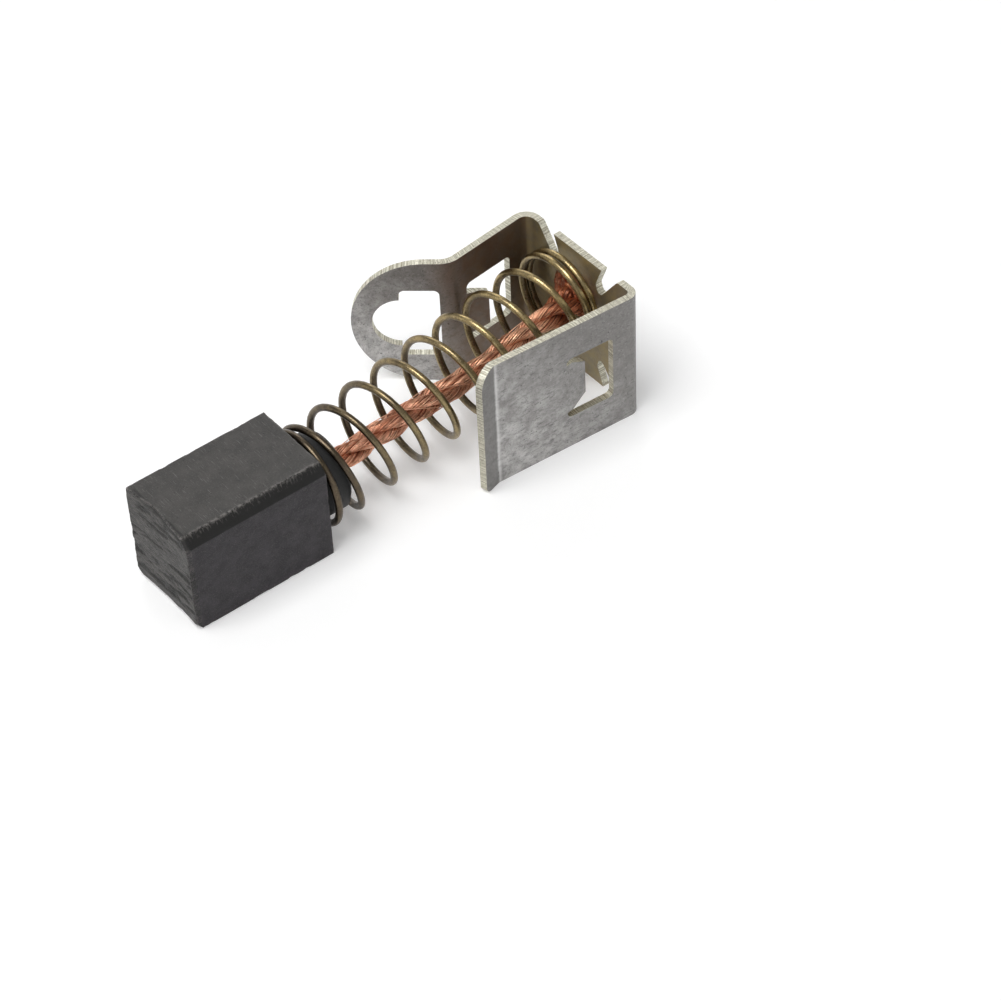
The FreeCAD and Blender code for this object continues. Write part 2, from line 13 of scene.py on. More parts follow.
import bmesh
import bpy
import numpy as np
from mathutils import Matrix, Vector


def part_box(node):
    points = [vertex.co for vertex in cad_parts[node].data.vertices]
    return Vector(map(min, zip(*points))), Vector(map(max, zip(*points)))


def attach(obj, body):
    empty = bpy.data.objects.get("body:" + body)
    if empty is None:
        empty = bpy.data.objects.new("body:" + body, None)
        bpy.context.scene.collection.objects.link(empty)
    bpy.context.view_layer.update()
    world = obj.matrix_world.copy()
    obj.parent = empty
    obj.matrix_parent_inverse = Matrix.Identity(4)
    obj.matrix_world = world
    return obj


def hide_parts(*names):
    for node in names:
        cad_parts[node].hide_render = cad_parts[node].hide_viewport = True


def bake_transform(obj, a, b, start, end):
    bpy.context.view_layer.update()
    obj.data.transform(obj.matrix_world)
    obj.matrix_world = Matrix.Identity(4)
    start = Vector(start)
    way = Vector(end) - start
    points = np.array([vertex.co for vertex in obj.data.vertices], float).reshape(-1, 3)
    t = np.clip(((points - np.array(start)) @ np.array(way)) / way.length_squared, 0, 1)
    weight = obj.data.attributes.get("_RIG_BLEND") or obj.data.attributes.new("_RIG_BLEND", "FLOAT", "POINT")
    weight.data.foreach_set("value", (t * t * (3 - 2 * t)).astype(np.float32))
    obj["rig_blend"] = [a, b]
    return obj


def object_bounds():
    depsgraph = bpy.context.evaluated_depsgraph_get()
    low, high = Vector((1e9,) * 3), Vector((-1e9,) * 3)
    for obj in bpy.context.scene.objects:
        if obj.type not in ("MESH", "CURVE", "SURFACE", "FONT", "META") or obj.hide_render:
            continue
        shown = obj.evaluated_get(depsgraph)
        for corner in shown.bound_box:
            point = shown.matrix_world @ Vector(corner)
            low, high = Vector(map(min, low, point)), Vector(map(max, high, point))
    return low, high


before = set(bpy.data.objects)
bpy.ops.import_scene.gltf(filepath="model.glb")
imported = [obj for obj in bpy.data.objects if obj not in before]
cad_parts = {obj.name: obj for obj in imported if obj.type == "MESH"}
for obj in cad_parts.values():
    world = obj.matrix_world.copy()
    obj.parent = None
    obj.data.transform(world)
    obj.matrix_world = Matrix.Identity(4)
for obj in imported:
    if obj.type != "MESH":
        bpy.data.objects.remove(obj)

cad_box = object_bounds()
MM = 0.001
print("size in mm", [round((b - a) / MM, 2) for a, b in zip(*cad_box)])

# %% [markdown]
# ## Where the camera stands
#
# The long edges of the clip and of the graphite block give the vanishing points of the
# photograph, and these give a camera a good 200 mm away with a long lens. A Blender camera
# looks along its own -Z with +Y up, so its three axes are the columns of its matrix.

# %% Camera
IMAGE_SIDE = 1001
FOCAL_PIXELS = 3200.0
RIGHT = (0.78251703, -0.62162093, -0.03541919)
UP = (0.45621912, 0.5337329, 0.71203463)
BACK = (-0.42371124, -0.57333813, 0.70125043)
STAND = (-0.098385, -0.122863, 0.137503)


def linked(name, data):
    """A new object with that data, linked to the scene."""
    made = bpy.data.objects.new(name, data)
    bpy.context.scene.collection.objects.link(made)
    return made


def standing(right, up, back, place):
    """The matrix of an object at `place` whose own X, Y and Z point right, up and back."""
    return np.column_stack([(*right, 0), (*up, 0), (*back, 0), (*place, 1)]).T


def camera_at(stand, right, up, back, focal_pixels):
    """A camera whose matrix has right, up and back as its columns; its lens is the sensor's
    width times the focal length in pixels, over the picture's width in pixels."""
    data = bpy.data.cameras.new("view")
    data.lens = data.sensor_width * focal_pixels / IMAGE_SIDE
    data.clip_start = 0.01
    data.clip_end = 20.0
    made = linked("view", data)
    made.matrix_world = standing(right, up, back, stand)
    bpy.context.scene.camera = made
    return made


camera = camera_at(STAND, RIGHT, UP, BACK, FOCAL_PIXELS)
bpy.context.scene.view_settings.view_transform = "Standard"
print("lens in mm", round(camera.data.lens, 2))

# %% [markdown]
# ## Table and light
#
# The part lies on a white table under soft studio light. The floor is an ordinary matte
# surface, so the part keeps its shadow, and a little light of its own is added only where
# the camera or a mirror-like surface looks at it. A low white wall far round the table
# closes the view for a camera that looks along it. Large area lamps give the broad, soft
# streaks that a small wire or a folded sheet shows under a softbox.

# %% Floor, lamps and world
FLOOR_HEIGHT = cad_box[0][2]
FLOOR_WHITE = 0.86
TABLE_GLOW, WALL_GLOW, WORLD_LIGHT = 0.22, 0.8, 0.26
MIDDLE = (-0.016, 0.002, 0.0)
# Name, place, width and watts of each lamp
LAMPS = (
    ("key", (-0.18, 0.0, 0.40), 0.26, 1.45),
    ("fill", (0.10, -0.36, 0.22), 0.22, 0.14),
    ("rear", (0.16, 0.34, 0.24), 0.20, 0.35),
)


def floor_at(height, side=4.0):
    """A flat square at the given height whose sides are `side` long."""
    half = side / 2
    signs = ((-1, -1), (1, -1), (1, 1), (-1, 1))
    mesh = bpy.data.meshes.new("floor")
    mesh.from_pydata([(half * x, half * y, height) for x, y in signs], [], [(0, 1, 2, 3)])
    made = linked("floor", mesh)
    return made


def wall_round(height, radius=1.9, rise=0.8, sides=64):
    """A ring of upright squares of that radius that faces inwards."""
    here = np.arange(sides)
    after = (here + 1) % sides
    angle = here * 2 * math.pi / sides
    ring = [radius * np.cos(angle), radius * np.sin(angle)]
    levels = (height, height + rise)
    points = np.concatenate([np.column_stack([*ring, np.full(sides, z)]) for z in levels])
    squares = np.column_stack([here, here + sides, after + sides, after])
    mesh = bpy.data.meshes.new("wall")
    mesh.from_pydata(points.tolist(), [], squares.tolist())
    made = linked("wall", mesh)
    return made


def white_paint(name, glow):
    """Matte white, plus a glow that only camera, glossy and see-through rays meet."""
    material = bpy.data.materials.new(name)
    material.use_nodes = True
    tree = material.node_tree
    tree.nodes.clear()
    kinds = ("OutputMaterial", "BsdfDiffuse", "Emission", "LightPath", "AddShader")
    out, matte, shine, path, both = (tree.nodes.new("ShaderNode" + kind) for kind in kinds)
    matte.inputs["Color"].default_value = (FLOOR_WHITE, FLOOR_WHITE, FLOOR_WHITE, 1)
    seen = path.outputs["Is Camera Ray"]
    for other in ("Is Glossy Ray", "Is Transmission Ray"):
        either = tree.nodes.new("ShaderNodeMath")
        either.operation = "MAXIMUM"
        tree.links.new(seen, either.inputs[0])
        tree.links.new(path.outputs[other], either.inputs[1])
        seen = either.outputs[0]
    scaled = tree.nodes.new("ShaderNodeMath")
    scaled.operation = "MULTIPLY"
    scaled.inputs[1].default_value = glow
    for output, socket in (
        (seen, scaled.inputs[0]),
        (scaled.outputs[0], shine.inputs["Strength"]),
        (matte.outputs[0], both.inputs[0]),
        (shine.outputs[0], both.inputs[1]),
        (both.outputs[0], out.inputs["Surface"]),
    ):
        tree.links.new(output, socket)
    return material


def softbox(name, place, target, width, watts):
    """A square lamp at place that faces target, `width` wide."""
    data = bpy.data.lights.new(name, "AREA")
    data.shape = "SQUARE"
    data.size = width
    data.energy = watts
    made = linked(name, data)
    away = np.array(place, float) - np.array(target, float)
    back = away / np.linalg.norm(away)
    right = np.cross((0, 0, 1), back)
    right /= np.linalg.norm(right)
    up = np.cross(back, right)
    made.matrix_world = standing(right, up, back, place)
    return made


floor = floor_at(FLOOR_HEIGHT)
floor.data.materials.append(white_paint("white_table", TABLE_GLOW))
wall = wall_round(FLOOR_HEIGHT)
wall.data.materials.append(white_paint("white_wall", WALL_GLOW))
for name, place, width, watts in LAMPS:
    softbox(name, place, MIDDLE, width, watts)
world = bpy.data.worlds.new("studio")
bpy.context.scene.world = world
world.use_nodes = True
sky = world.node_tree.nodes["Background"]
sky.inputs["Color"].default_value = (1, 1, 1, 1)
sky.inputs["Strength"].default_value = WORLD_LIGHT
print("floor at mm", round(FLOOR_HEIGHT / MM, 3))

# %% [markdown]
# ## A small kit for finishes
#
# Every finish below is a Principled shader with noise behind its colour, and most also have
# noise behind their roughness and bump. Object coordinates are in metres, so a noise whose
# lumps are a tenth of a millimetre across has a scale of 10 000. These helpers name a lump
# by its size instead.

# %% Finish helpers


class Finish:
    """A material in the making: its tree, its Principled shader and its Object coordinates."""

    def __init__(self, name, colour, metallic, roughness):
        self.material = bpy.data.materials.new(name)
        self.material.use_nodes = True
        self.tree = self.material.node_tree
        self.shader = self.tree.nodes["Principled BSDF"]
        self.shader.inputs["Base Color"].default_value = (*colour, 1)
        self.shader.inputs["Metallic"].default_value = metallic
        self.shader.inputs["Roughness"].default_value = roughness
        self.where = self.add("ShaderNodeTexCoord").outputs["Object"]
        self.painted = None

    def add(self, kind, **settings):
        made = self.tree.nodes.new(kind)
        for key, value in settings.items():
            setattr(made, key, value)
        return made

    def join(self, output, socket):
        self.tree.links.new(output, socket)

    def stretched(self, factors, degrees):
        """The coordinates turned, then multiplied along each axis by a factor."""
        mapping = self.add("ShaderNodeMapping", vector_type="POINT")
        mapping.inputs["Rotation"].default_value = [math.radians(turn) for turn in degrees]
        mapping.inputs["Scale"].default_value = factors
        self.join(self.where, mapping.inputs["Vector"])
        return mapping.outputs["Vector"]

    def lumps(self, size, detail=3.0, rough=0.55, source=None):
        """Noise from 0 to 1 whose lumps are `size` metres across."""
        noise = self.add("ShaderNodeTexNoise")
        noise.inputs["Scale"].default_value = 1 / size
        noise.inputs["Detail"].default_value = detail
        noise.inputs["Roughness"].default_value = rough
        self.join(source or self.where, noise.inputs["Vector"])
        return noise.outputs["Fac"]

    def stepped(self, value, low, high, to_low=0.0, to_high=1.0):
        """The value taken from the span low to high onto to_low to to_high, and held there."""
        ranged = self.add("ShaderNodeMapRange", clamp=True)
        ends = {"From Min": low, "From Max": high, "To Min": to_low, "To Max": to_high}
        for name, number in ends.items():
            ranged.inputs[name].default_value = number
        self.join(value, ranged.inputs["Value"])
        return ranged.outputs["Result"]

    def reckoned(self, operation, first, second):
        """Two values put together by a Math node; either may be a plain number."""
        both = self.add("ShaderNodeMath", operation=operation)
        for socket, value in zip(both.inputs, (first, second)):
            if isinstance(value, (int, float)):
                socket.default_value = value
            else:
                self.join(value, socket)
        return both.outputs[0]

    def sum_of(self, first, second):
        return self.reckoned("ADD", first, second)

    def times(self, first, second):
        return self.reckoned("MULTIPLY", first, second)

    def blended(self, amount, under, over):
        """Two colours mixed by amount; each is a triple or the output of another node."""
        mix = self.add("ShaderNodeMix", data_type="RGBA")
        self.join(amount, mix.inputs[0])
        for socket, colour in zip((mix.inputs[6], mix.inputs[7]), (under, over)):
            if isinstance(colour, tuple):
                socket.default_value = (*colour, 1)
            else:
                self.join(colour, socket)
        return mix.outputs[2]

    def coat(self, amount, over):
        """One more colour over what is painted so far, where the amount is 1."""
        self.painted = self.blended(amount, self.painted, over)

    def attribute(self, name):
        """A number that is stored with the mesh."""
        return self.add("ShaderNodeAttribute", attribute_name=name).outputs["Fac"]

    def coordinate(self, axis, source=None):
        """One coordinate of each place, by default the object's own in metres."""
        split = self.add("ShaderNodeSeparateXYZ")
        self.join(source or self.where, split.inputs[0])
        return split.outputs[axis]

    def scratches(self, factors, kinds, span, depth):
        """Fine lines from 0 to `depth`: narrow lumps stretched along one axis. Each kind has
        its turns in degrees, its width in millimetres and the noise where it starts; it is
        full a span further."""
        drawn = None
        for degrees, width, low in kinds:
            place = self.stretched(factors, degrees)
            lines = self.stepped(self.lumps(width * MM, 2, 0.5, place), low, low + span, 0.0, depth)
            drawn = lines if drawn is None else self.reckoned("MAXIMUM", drawn, lines)
        return drawn

    def colour(self, output):
        self.join(output, self.shader.inputs["Base Color"])

    def gloss(self, output):
        self.join(output, self.shader.inputs["Roughness"])

    def relief(self, height, depth, strength=1.0, under=None):
        """Bump: a height of 1 stands `depth` metres proud."""
        bump = self.add("ShaderNodeBump")
        bump.inputs["Strength"].default_value = strength
        bump.inputs["Distance"].default_value = depth
        self.join(height, bump.inputs["Height"])
        if under is not None:
            self.join(under, bump.inputs["Normal"])
        self.join(bump.outputs["Normal"], self.shader.inputs["Normal"])
        return bump.outputs["Normal"]


def grey(value, warmth=0.0):
    """A grey of that linear brightness, shifted from blue to red by warmth."""
    return (value * (1 + warmth), value, value * (1 - warmth))


# %% [markdown]
# ## Grids into meshes
#
# Most pieces here are rows of points: rings round a wire, outlines along a block. One
# helper joins each row to the next with four-sided faces and hands everything to Blender
# as whole arrays, which is much faster than adding vertices one by one.

# %% Grid helpers


def circle(count):
    """The angles of that many even steps round a circle."""
    return np.arange(count) * 2 * math.pi / count


def ring_faces(rows, around, first=0, flipped=False):
    """Corner numbers of the faces between `rows` closed rings of `around` points each, and
    of the two that close the ends. Flipped, they all face the other way."""
    row = np.arange(rows - 1)[:, None] * around
    here = np.arange(around)[None, :]
    nearby = (here + 1) % around
    corners = [row + here, row + nearby, row + around + nearby, row + around + here]
    spread = [np.broadcast_to(corner, (rows - 1, around)) for corner in corners]
    sides = first + np.stack(spread, -1).reshape(-1, 4)
    ends = first + np.stack([here[0, ::-1], (rows - 1) * around + here[0]])
    return (sides[:, ::-1], ends[:, ::-1]) if flipped else (sides, ends)


def mesh_of(name, points, quads, ends):
    """A mesh from an array of points, four-sided faces and a few faces of any length."""
    mesh = bpy.data.meshes.new(name)
    loops = np.concatenate([quads.ravel(), *ends]).astype(np.int32)
    lengths = np.concatenate([np.full(len(quads), 4), [len(end) for end in ends]]).astype(np.int32)
    starts = np.concatenate([[0], np.cumsum(lengths)[:-1]]).astype(np.int32)
    mesh.vertices.add(len(points))
    mesh.vertices.foreach_set("co", np.asarray(points, np.float32).ravel())
    mesh.loops.add(len(loops))
    mesh.loops.foreach_set("vertex_index", loops)
    mesh.polygons.add(len(lengths))
    mesh.polygons.foreach_set("loop_start", starts)
    mesh.update(calc_edges=True)
    mesh.validate()
    mesh.polygons.foreach_set("use_smooth", np.ones(len(mesh.polygons), bool))
    return mesh


def piece_of(name, mesh, material):
    """An object for a finished mesh, with its material."""
    made = linked(name, mesh)
    made.data.materials.append(material)
    return made


def store(mesh, name, values, domain="POINT"):
    """Keep one number for every vertex, or every face, where a material can read it."""
    kept = mesh.attributes.new(name, "FLOAT", domain)
    kept.data.foreach_set("value", np.asarray(values, np.float32).ravel())


def triangles(mesh):
    return int(sum(len(p.vertices) - 2 for p in mesh.polygons))


def read(elements, name):
    """A property of three numbers of all vertices or faces, as one array."""
    flat = np.empty(len(elements) * 3, np.float32)
    elements.foreach_get(name, flat)
    return flat.reshape(-1, 3).astype(float)


def smooth_step(t):
    """0 to 1 with a level start and end: three squares less two cubes."""
    t = np.clip(t, 0, 1)
    return t * t * (3 - 2 * t)


def unit(rows):
    """Every row divided by its length."""
    return rows / np.linalg.norm(rows, axis=1, keepdims=True)


def patches(across, up, seed):
    """Soft random heights from -1 to 1: a height is drawn at every whole number of across
    and up, and the four nearest are eased into each other."""
    period = 64
    drawn = np.random.default_rng(seed).uniform(-1, 1, (period, period))
    left, low = np.floor(across).astype(int), np.floor(up).astype(int)
    to_right, to_top = smooth_step(across - left), smooth_step(up - low)

    def level(row):
        at_left, at_right = (drawn[(left + i) % period, row % period] for i in (0, 1))
        return at_left * (1 - to_right) + at_right * to_right

    return level(low) * (1 - to_top) + level(low + 1) * to_top


def layered(across, up, seed, layers=4):
    """Patches of halving size and height, added up."""
    return sum(patches(across * 2**i, up * 2**i, seed + i) / 2**i for i in range(layers))


def tube_rows(centres, radius, sides):
    """Rings round a line: each point is the centre plus the radius times the cosine and sine
    of its angle along two directions square to the line."""
    way = unit(np.gradient(centres, axis=0))
    across = np.cross((1.0, 0.0, 0.0), way)
    short = np.linalg.norm(across, axis=1) < 1e-3
    across[short] = np.cross((0.0, 0.0, 1.0), way[short])
    across = unit(across)
    above = np.cross(way, across)
    angle = circle(sides)[None, :, None]
    turned = across[:, None] * np.cos(angle) + above[:, None] * np.sin(angle)
    reach = np.broadcast_to(np.asarray(radius, float), (len(centres),))[:, None, None]
    return centres[:, None] + reach * turned


# %% [markdown]
# ## The line that the spring and the rope follow
#
# The graphite block lies lower than the seat on the clip's web, so both the spring and the
# rope climb to it. The climb is straight, with its two ends eased in, because both seats
# hold the coil square to themselves. The rope is soft, so it also hangs through a little.

# %% Places along the brush
block_low, block_high = (np.array(corner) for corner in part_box("carbon_block"))
weld_low, weld_high = (np.array(corner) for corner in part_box("shunt_weld"))
BOSS_LENGTH = 2.2 * MM
BLOCK_LENGTH = 10.4 * MM
BLOCK_REAR = block_high[0] - BOSS_LENGTH
WEB_INNER = weld_high[0]
BLOCK_AXIS = (block_low[2] + block_high[2]) / 2
SPRING_SEAT = (1.0 * MM, 0.95 * MM)
ROPE_SEAT = (0.0, 1.1 * MM)
RAMP = 0.12


def eased(t):
    """0 to 1 in a straight climb whose first and last shares, RAMP long, are parabolas."""
    slope = 1 / (1 - RAMP)
    start = slope * t**2 / (2 * RAMP)
    end = 1 - slope * (1 - t) ** 2 / (2 * RAMP)
    return np.where(t < RAMP, start, np.where(t > 1 - RAMP, end, slope * (t - RAMP / 2)))


def climb(x, first, last, seat, sag=0.0):
    """Centres at each x: Y and Z go from the block's axis to the seat's, eased between first
    and last, less a sag that is largest a little past half way."""
    t = np.clip((x - first) / (last - first), 0, 1)
    share = eased(t)
    y = seat[0] * share
    z = BLOCK_AXIS + (seat[1] - BLOCK_AXIS) * share - sag * np.sin(math.pi * t**1.5) ** 2
    return np.column_stack([x, y, z])


def outwards(way, angle):
    """Directions square to a line that runs along `way`: the cosine of the angle times the
    side that lies nearest to +Y, plus its sine times the one above it."""
    side = unit(np.array((0.0, 1.0, 0.0)) - way * way[:, 1:2])
    return side * np.cos(angle)[:, None] + np.cross(way, side) * np.sin(angle)[:, None]


def round_the(line, radius, angle):
    """Points at a radius and an angle round a line, measured square to the line."""
    reach = np.broadcast_to(np.asarray(radius, float), (len(line),))[:, None]
    return line + reach * outwards(unit(np.gradient(line, axis=0)), angle)


print("spring climbs by mm", round((SPRING_SEAT[1] - BLOCK_AXIS) / MM, 2))

# %% [markdown]
# ## Spring
#
# The spring is one steel wire, close wound for a turn or two at each seat and open between.
# It could be a curve with a bevel, but a tube worked out here can keep with every point how
# much it faces out of the coil, so the finish can paint the outer side of each turn lighter
# and the inner side darker, as painted light and shade.

# %% Spring wire
WIRE = 0.48 * MM
COIL_RADIUS = 3.25 * MM
CLOSED_PITCH = 0.53 * MM
BLOCK_TURNS, OPEN_TURNS, WEB_TURNS = 1.25, 7.75, 2.0
START_ANGLE = math.radians(-78)
SEAT_GAP = 0.03 * MM
PASSAGE_TURNS = 0.4


def coil_line(steps_a_turn):
    """The wire's centre: the angle grows evenly with the turns, and the place along the
    spring grows by the closed pitch, or by the open one where the coil is open; a short
    passage joins the two. Returns the centres and, for each, the direction away from the
    coil's middle."""
    turns = BLOCK_TURNS + OPEN_TURNS + WEB_TURNS
    turn = np.linspace(0, turns, int(turns * steps_a_turn) + 1)
    opening = smooth_step((turn - BLOCK_TURNS) / PASSAGE_TURNS + 0.5)
    closing = smooth_step((turns - WEB_TURNS - turn) / PASSAGE_TURNS + 0.5)
    openness = opening * closing
    steps = np.diff(turn) * (openness[1:] + openness[:-1]) / 2
    share = np.concatenate([[0], np.cumsum(steps)])
    first = BLOCK_REAR + WIRE / 2 + SEAT_GAP
    last = WEB_INNER - WIRE / 2 - SEAT_GAP
    open_pitch = (last - first - CLOSED_PITCH * turns) / share[-1]
    x = first + CLOSED_PITCH * turn + open_pitch * share
    middle = climb(x, first, last, SPRING_SEAT)
    even = np.linspace(first, last, 400)
    way = np.gradient(climb(even, first, last, SPRING_SEAT), axis=0)
    slopes = [np.interp(x, even, way[:, k] / way[:, 0]) for k in (1, 2)]
    line_way = unit(np.column_stack([np.ones_like(x), *slopes]))
    outward = outwards(line_way, START_ANGLE + 2 * math.pi * turn)
    return middle + COIL_RADIUS * outward, outward


def spring_wire():
    """A closed tube along the coil's line, its ends a little narrower. Each point also
    keeps how much it faces out of the coil: 1 outside, -1 inside."""
    centres, outward = coil_line(48)
    sides = 16
    radius = np.full(len(centres), WIRE / 2)
    radius[[0, -1]] *= 0.9
    rows = tube_rows(centres, radius, sides)
    mesh = mesh_of("spring_wire", rows.reshape(-1, 3), *ring_faces(len(centres), sides))
    facing = ((rows - centres[:, None]) * outward[:, None]).sum(-1) / (WIRE / 2)
    store(mesh, "facing_out", facing)
    length = np.linalg.norm(np.diff(centres, axis=0), axis=1).sum()
    print("spring wire is", round(length / MM, 1), "mm long,", triangles(mesh), "triangles")
    return mesh


# %% Spring finish


def spring_steel():
    """Drawn wire: nearly black next to the block and brassier and more mottled towards the
    web; as painted light and shade, the outer side of every turn is lighter and the inner
    side darker."""
    finish = Finish("spring_steel", (0.2, 0.17, 0.11), 1.0, 0.3)
    start = float(BLOCK_REAR)
    brassy = finish.stepped(finish.coordinate("X"), start + 2 * MM, -7 * MM, 0.14, 1.0)
    # Painted light and shade: the outer side of each turn lighter, the inner side darker.
    painted_light = finish.stepped(finish.attribute("facing_out"), -0.9, 0.6, 0.35, 1.0)
    golden = finish.times(brassy, painted_light)
    clouded = finish.stepped(finish.lumps(0.8 * MM, 4), 0.35, 0.6, 0.45, 1.0)
    golden = finish.times(golden, clouded)
    finish.painted = finish.blended(golden, (0.065, 0.052, 0.045), (0.52, 0.4, 0.19))
    fine = finish.lumps(0.08 * MM, 3, 0.6)
    specks = finish.stepped(fine, 0.52, 0.66, 0.0, 0.7)
    finish.coat(specks, (0.045, 0.035, 0.027))
    glints = finish.stepped(finish.lumps(0.13 * MM, 3, 0.6), 0.62, 0.7, 0.0, 0.7)
    finish.coat(finish.times(glints, golden), (0.85, 0.72, 0.42))
    finish.colour(finish.painted)
    finish.gloss(finish.stepped(fine, 0.35, 0.65, 0.24, 0.44))
    finish.relief(finish.lumps(0.12 * MM, 3), 0.007 * MM)
    return finish.material


spring = piece_of("spring_wire", spring_wire(), spring_steel())
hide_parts("spring")

# %% [markdown]
# ## Copper rope
#
# The rope is three strands, and each strand is a few dozen hair-fine copper wires. One
# smooth tube would miss the look, so each wire in a strand's outer layer is its own thin
# tube. A wire's centre turns round its strand, and the strand turns round the rope.

# %% Rope wires
ROPE_RADIUS = 0.8 * MM
ROPE_LAY = 8.1 * MM
ROPE_START = math.radians(40)
ROPE_SAG = 0.45 * MM
STRAND = ROPE_RADIUS / (1 + 2 / math.sqrt(3)) * 0.98
LAY_RADIUS = ROPE_RADIUS - STRAND
HAIR = 0.04 * MM
WIRES_A_STRAND, STRAY_WIRES = 28, 16
HAIR_LAY = 4.2 * MM
BORE_DEPTH = 2.0 * MM
rope_first = block_high[0] - BORE_DEPTH
rope_last = WEB_INNER - 0.4 * MM
climb_first = block_high[0]
climb_last = weld_low[0]
chance = np.random.default_rng(7)


def splay(x):
    """How far the rope is opened at each x: 1 along its length, growing in the last stretch,
    where the wires fan out to be fused to the web."""
    return 1 + 0.45 * smooth_step((x - (climb_last - 2.4 * MM)) / (2.6 * MM))


def wander(x, spacing, amount):
    """A soft random walk along x: numbers drawn every `spacing`, eased into each other."""
    knots = np.arange(rope_first - spacing, rope_last + 2 * spacing, spacing)
    drawn = chance.normal(0, amount, len(knots))
    place = (x - knots[0]) / spacing
    before = np.clip(place.astype(int), 0, len(knots) - 2)
    t = smooth_step(place - before)
    return drawn[before] * (1 - t) + drawn[before + 1] * t


def strand_middle(x, strand_number):
    """The middle of a strand at each x; it turns round the rope once a lay."""
    line = climb(x, climb_first, climb_last, ROPE_SEAT, ROPE_SAG)
    angle = ROPE_START + 2 * math.pi * (strand_number / 3 + (x - rope_first) / ROPE_LAY)
    return round_the(line, LAY_RADIUS * splay(x), angle)


def wire_rows(strand_number, wire_number, steps, sides):
    """One wire: it turns round its strand the other way than the strand turns round the
    rope, as in a real lay. A soft wander in angle and reach keeps it from lying as neatly
    as its neighbours."""
    x = np.linspace(rope_first, rope_last, steps)
    twist = 2 * math.pi * (wire_number / WIRES_A_STRAND - (x - rope_first) / HAIR_LAY)
    twist += wander(x, 1.3 * MM, 0.15)
    reach = (STRAND - HAIR) * (1 + np.abs(wander(x, 0.8 * MM, 0.09))) * splay(x)
    return tube_rows(round_the(strand_middle(x, strand_number), reach, twist), HAIR, sides)


def stray_rows(steps, sides):
    """A wire that has come loose: it lies on the rope's outside and crosses the strands."""
    start = chance.uniform(climb_first, climb_last - 4 * MM)
    x = np.linspace(start, min(start + chance.uniform(3, 7) * MM, rope_last), steps)
    line = climb(x, climb_first, climb_last, ROPE_SEAT, ROPE_SAG)
    turn = chance.uniform(0, 2 * math.pi) + 2 * math.pi * (x - start) / (chance.uniform(9, 30) * MM)
    lift = np.sin(math.pi * np.linspace(0, 1, steps)) * chance.uniform(0.02, 0.1) * MM
    reach = ROPE_RADIUS * 0.93 * splay(x) + lift
    return tube_rows(round_the(line, reach, turn), HAIR * 0.8, sides)


def rope_mesh():
    """All wires of the three strands and a few loose ones in one mesh, with a core inside
    each strand that closes the gaps between its wires and is coloured dark as painted shade."""
    steps, sides = 150, 6
    tubes, shades = [], []
    for strand_number in range(3):
        for wire_number in range(WIRES_A_STRAND):
            tubes.append(wire_rows(strand_number, wire_number, steps, sides))
            shades.append(chance.uniform(0.25, 1))
        x = np.linspace(rope_first, rope_last, steps)
        core = (STRAND - HAIR * 1.3) * splay(x)
        tubes.append(tube_rows(strand_middle(x, strand_number), core, 16))
        # The core's tone of 0 paints it dark: painted shade between the wires.
        shades.append(0)
    for _ in range(STRAY_WIRES):
        tubes.append(stray_rows(40, sides))
        shades.append(chance.uniform(0.5, 1))
    points = np.concatenate([tube.reshape(-1, 3) for tube in tubes])
    sizes = [tube.shape[0] * tube.shape[1] for tube in tubes]
    quads, ends = [], []
    for tube, first in zip(tubes, np.cumsum([0] + sizes[:-1])):
        between, closing = ring_faces(*tube.shape[:2], first)
        quads.append(between)
        ends += list(closing)
    mesh = mesh_of("rope_wires", points, np.concatenate(quads), ends)
    store(mesh, "tone_and_core_shade", np.repeat(shades, sizes))
    print("rope has", 3 * WIRES_A_STRAND, "laid wires,", triangles(mesh), "triangles")
    return mesh


# %% Copper finish


def bare_copper():
    """Clean copper hair: each wire a little lighter or darker than the next, browner in
    places, painted paler inside the clip as light against the shade of its walls, red brown
    where the weld has heated it, and painted dark as shade on the cores between the wires."""
    finish = Finish("bare_copper", (0.8, 0.4, 0.26), 0.68, 0.34)
    own = finish.attribute("tone_and_core_shade")
    each = finish.blended(finish.stepped(own, 0.25, 1.0), (0.5, 0.18, 0.095), (1.0, 0.58, 0.39))
    brown = finish.stepped(finish.lumps(0.5 * MM, 3), 0.48, 0.64, 0.0, 0.75)
    each = finish.blended(brown, each, (0.3, 0.12, 0.065))
    along = finish.coordinate("X")
    # Painted light: the rope is paler inside the clip, where the clip's walls shade it.
    pale = finish.stepped(along, -15 * MM, -9 * MM, 0.0, 0.8)
    pale = finish.times(pale, finish.stepped(own, 0.3, 0.8, 0.1, 1.0))
    each = finish.blended(pale, each, (1.0, 0.6, 0.38))
    weld_near = float(climb_last)
    heated = finish.stepped(along, weld_near - 3.0 * MM, weld_near - 1.2 * MM)
    each = finish.blended(finish.times(heated, 0.85), each, (0.42, 0.12, 0.045))
    # Painted shade: the strand cores between the wires are dark brown.
    finish.colour(finish.blended(finish.stepped(own, 0.0, 0.2), (0.24, 0.085, 0.045), each))
    finish.gloss(finish.stepped(finish.lumps(0.2 * MM, 2), 0.3, 0.7, 0.26, 0.42))
    return finish.material


rope = piece_of("rope_wires", rope_mesh(), bare_copper())
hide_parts("shunt_rope")

# %% [markdown]
# ## Weld
#
# The rope's end is fused to the web in one hot press, which leaves a dark, crusted button.
# It is a low dome: its height falls from the middle to the rim, and layered patches of
# random height roughen it.

# %% Weld button
WELD_RADIUS = (weld_high[1] - weld_low[1]) / 2
WELD_HEIGHT = weld_high[0] - weld_low[0]
WELD_MIDDLE = ((weld_low[1] + weld_high[1]) / 2, (weld_low[2] + weld_high[2]) / 2)


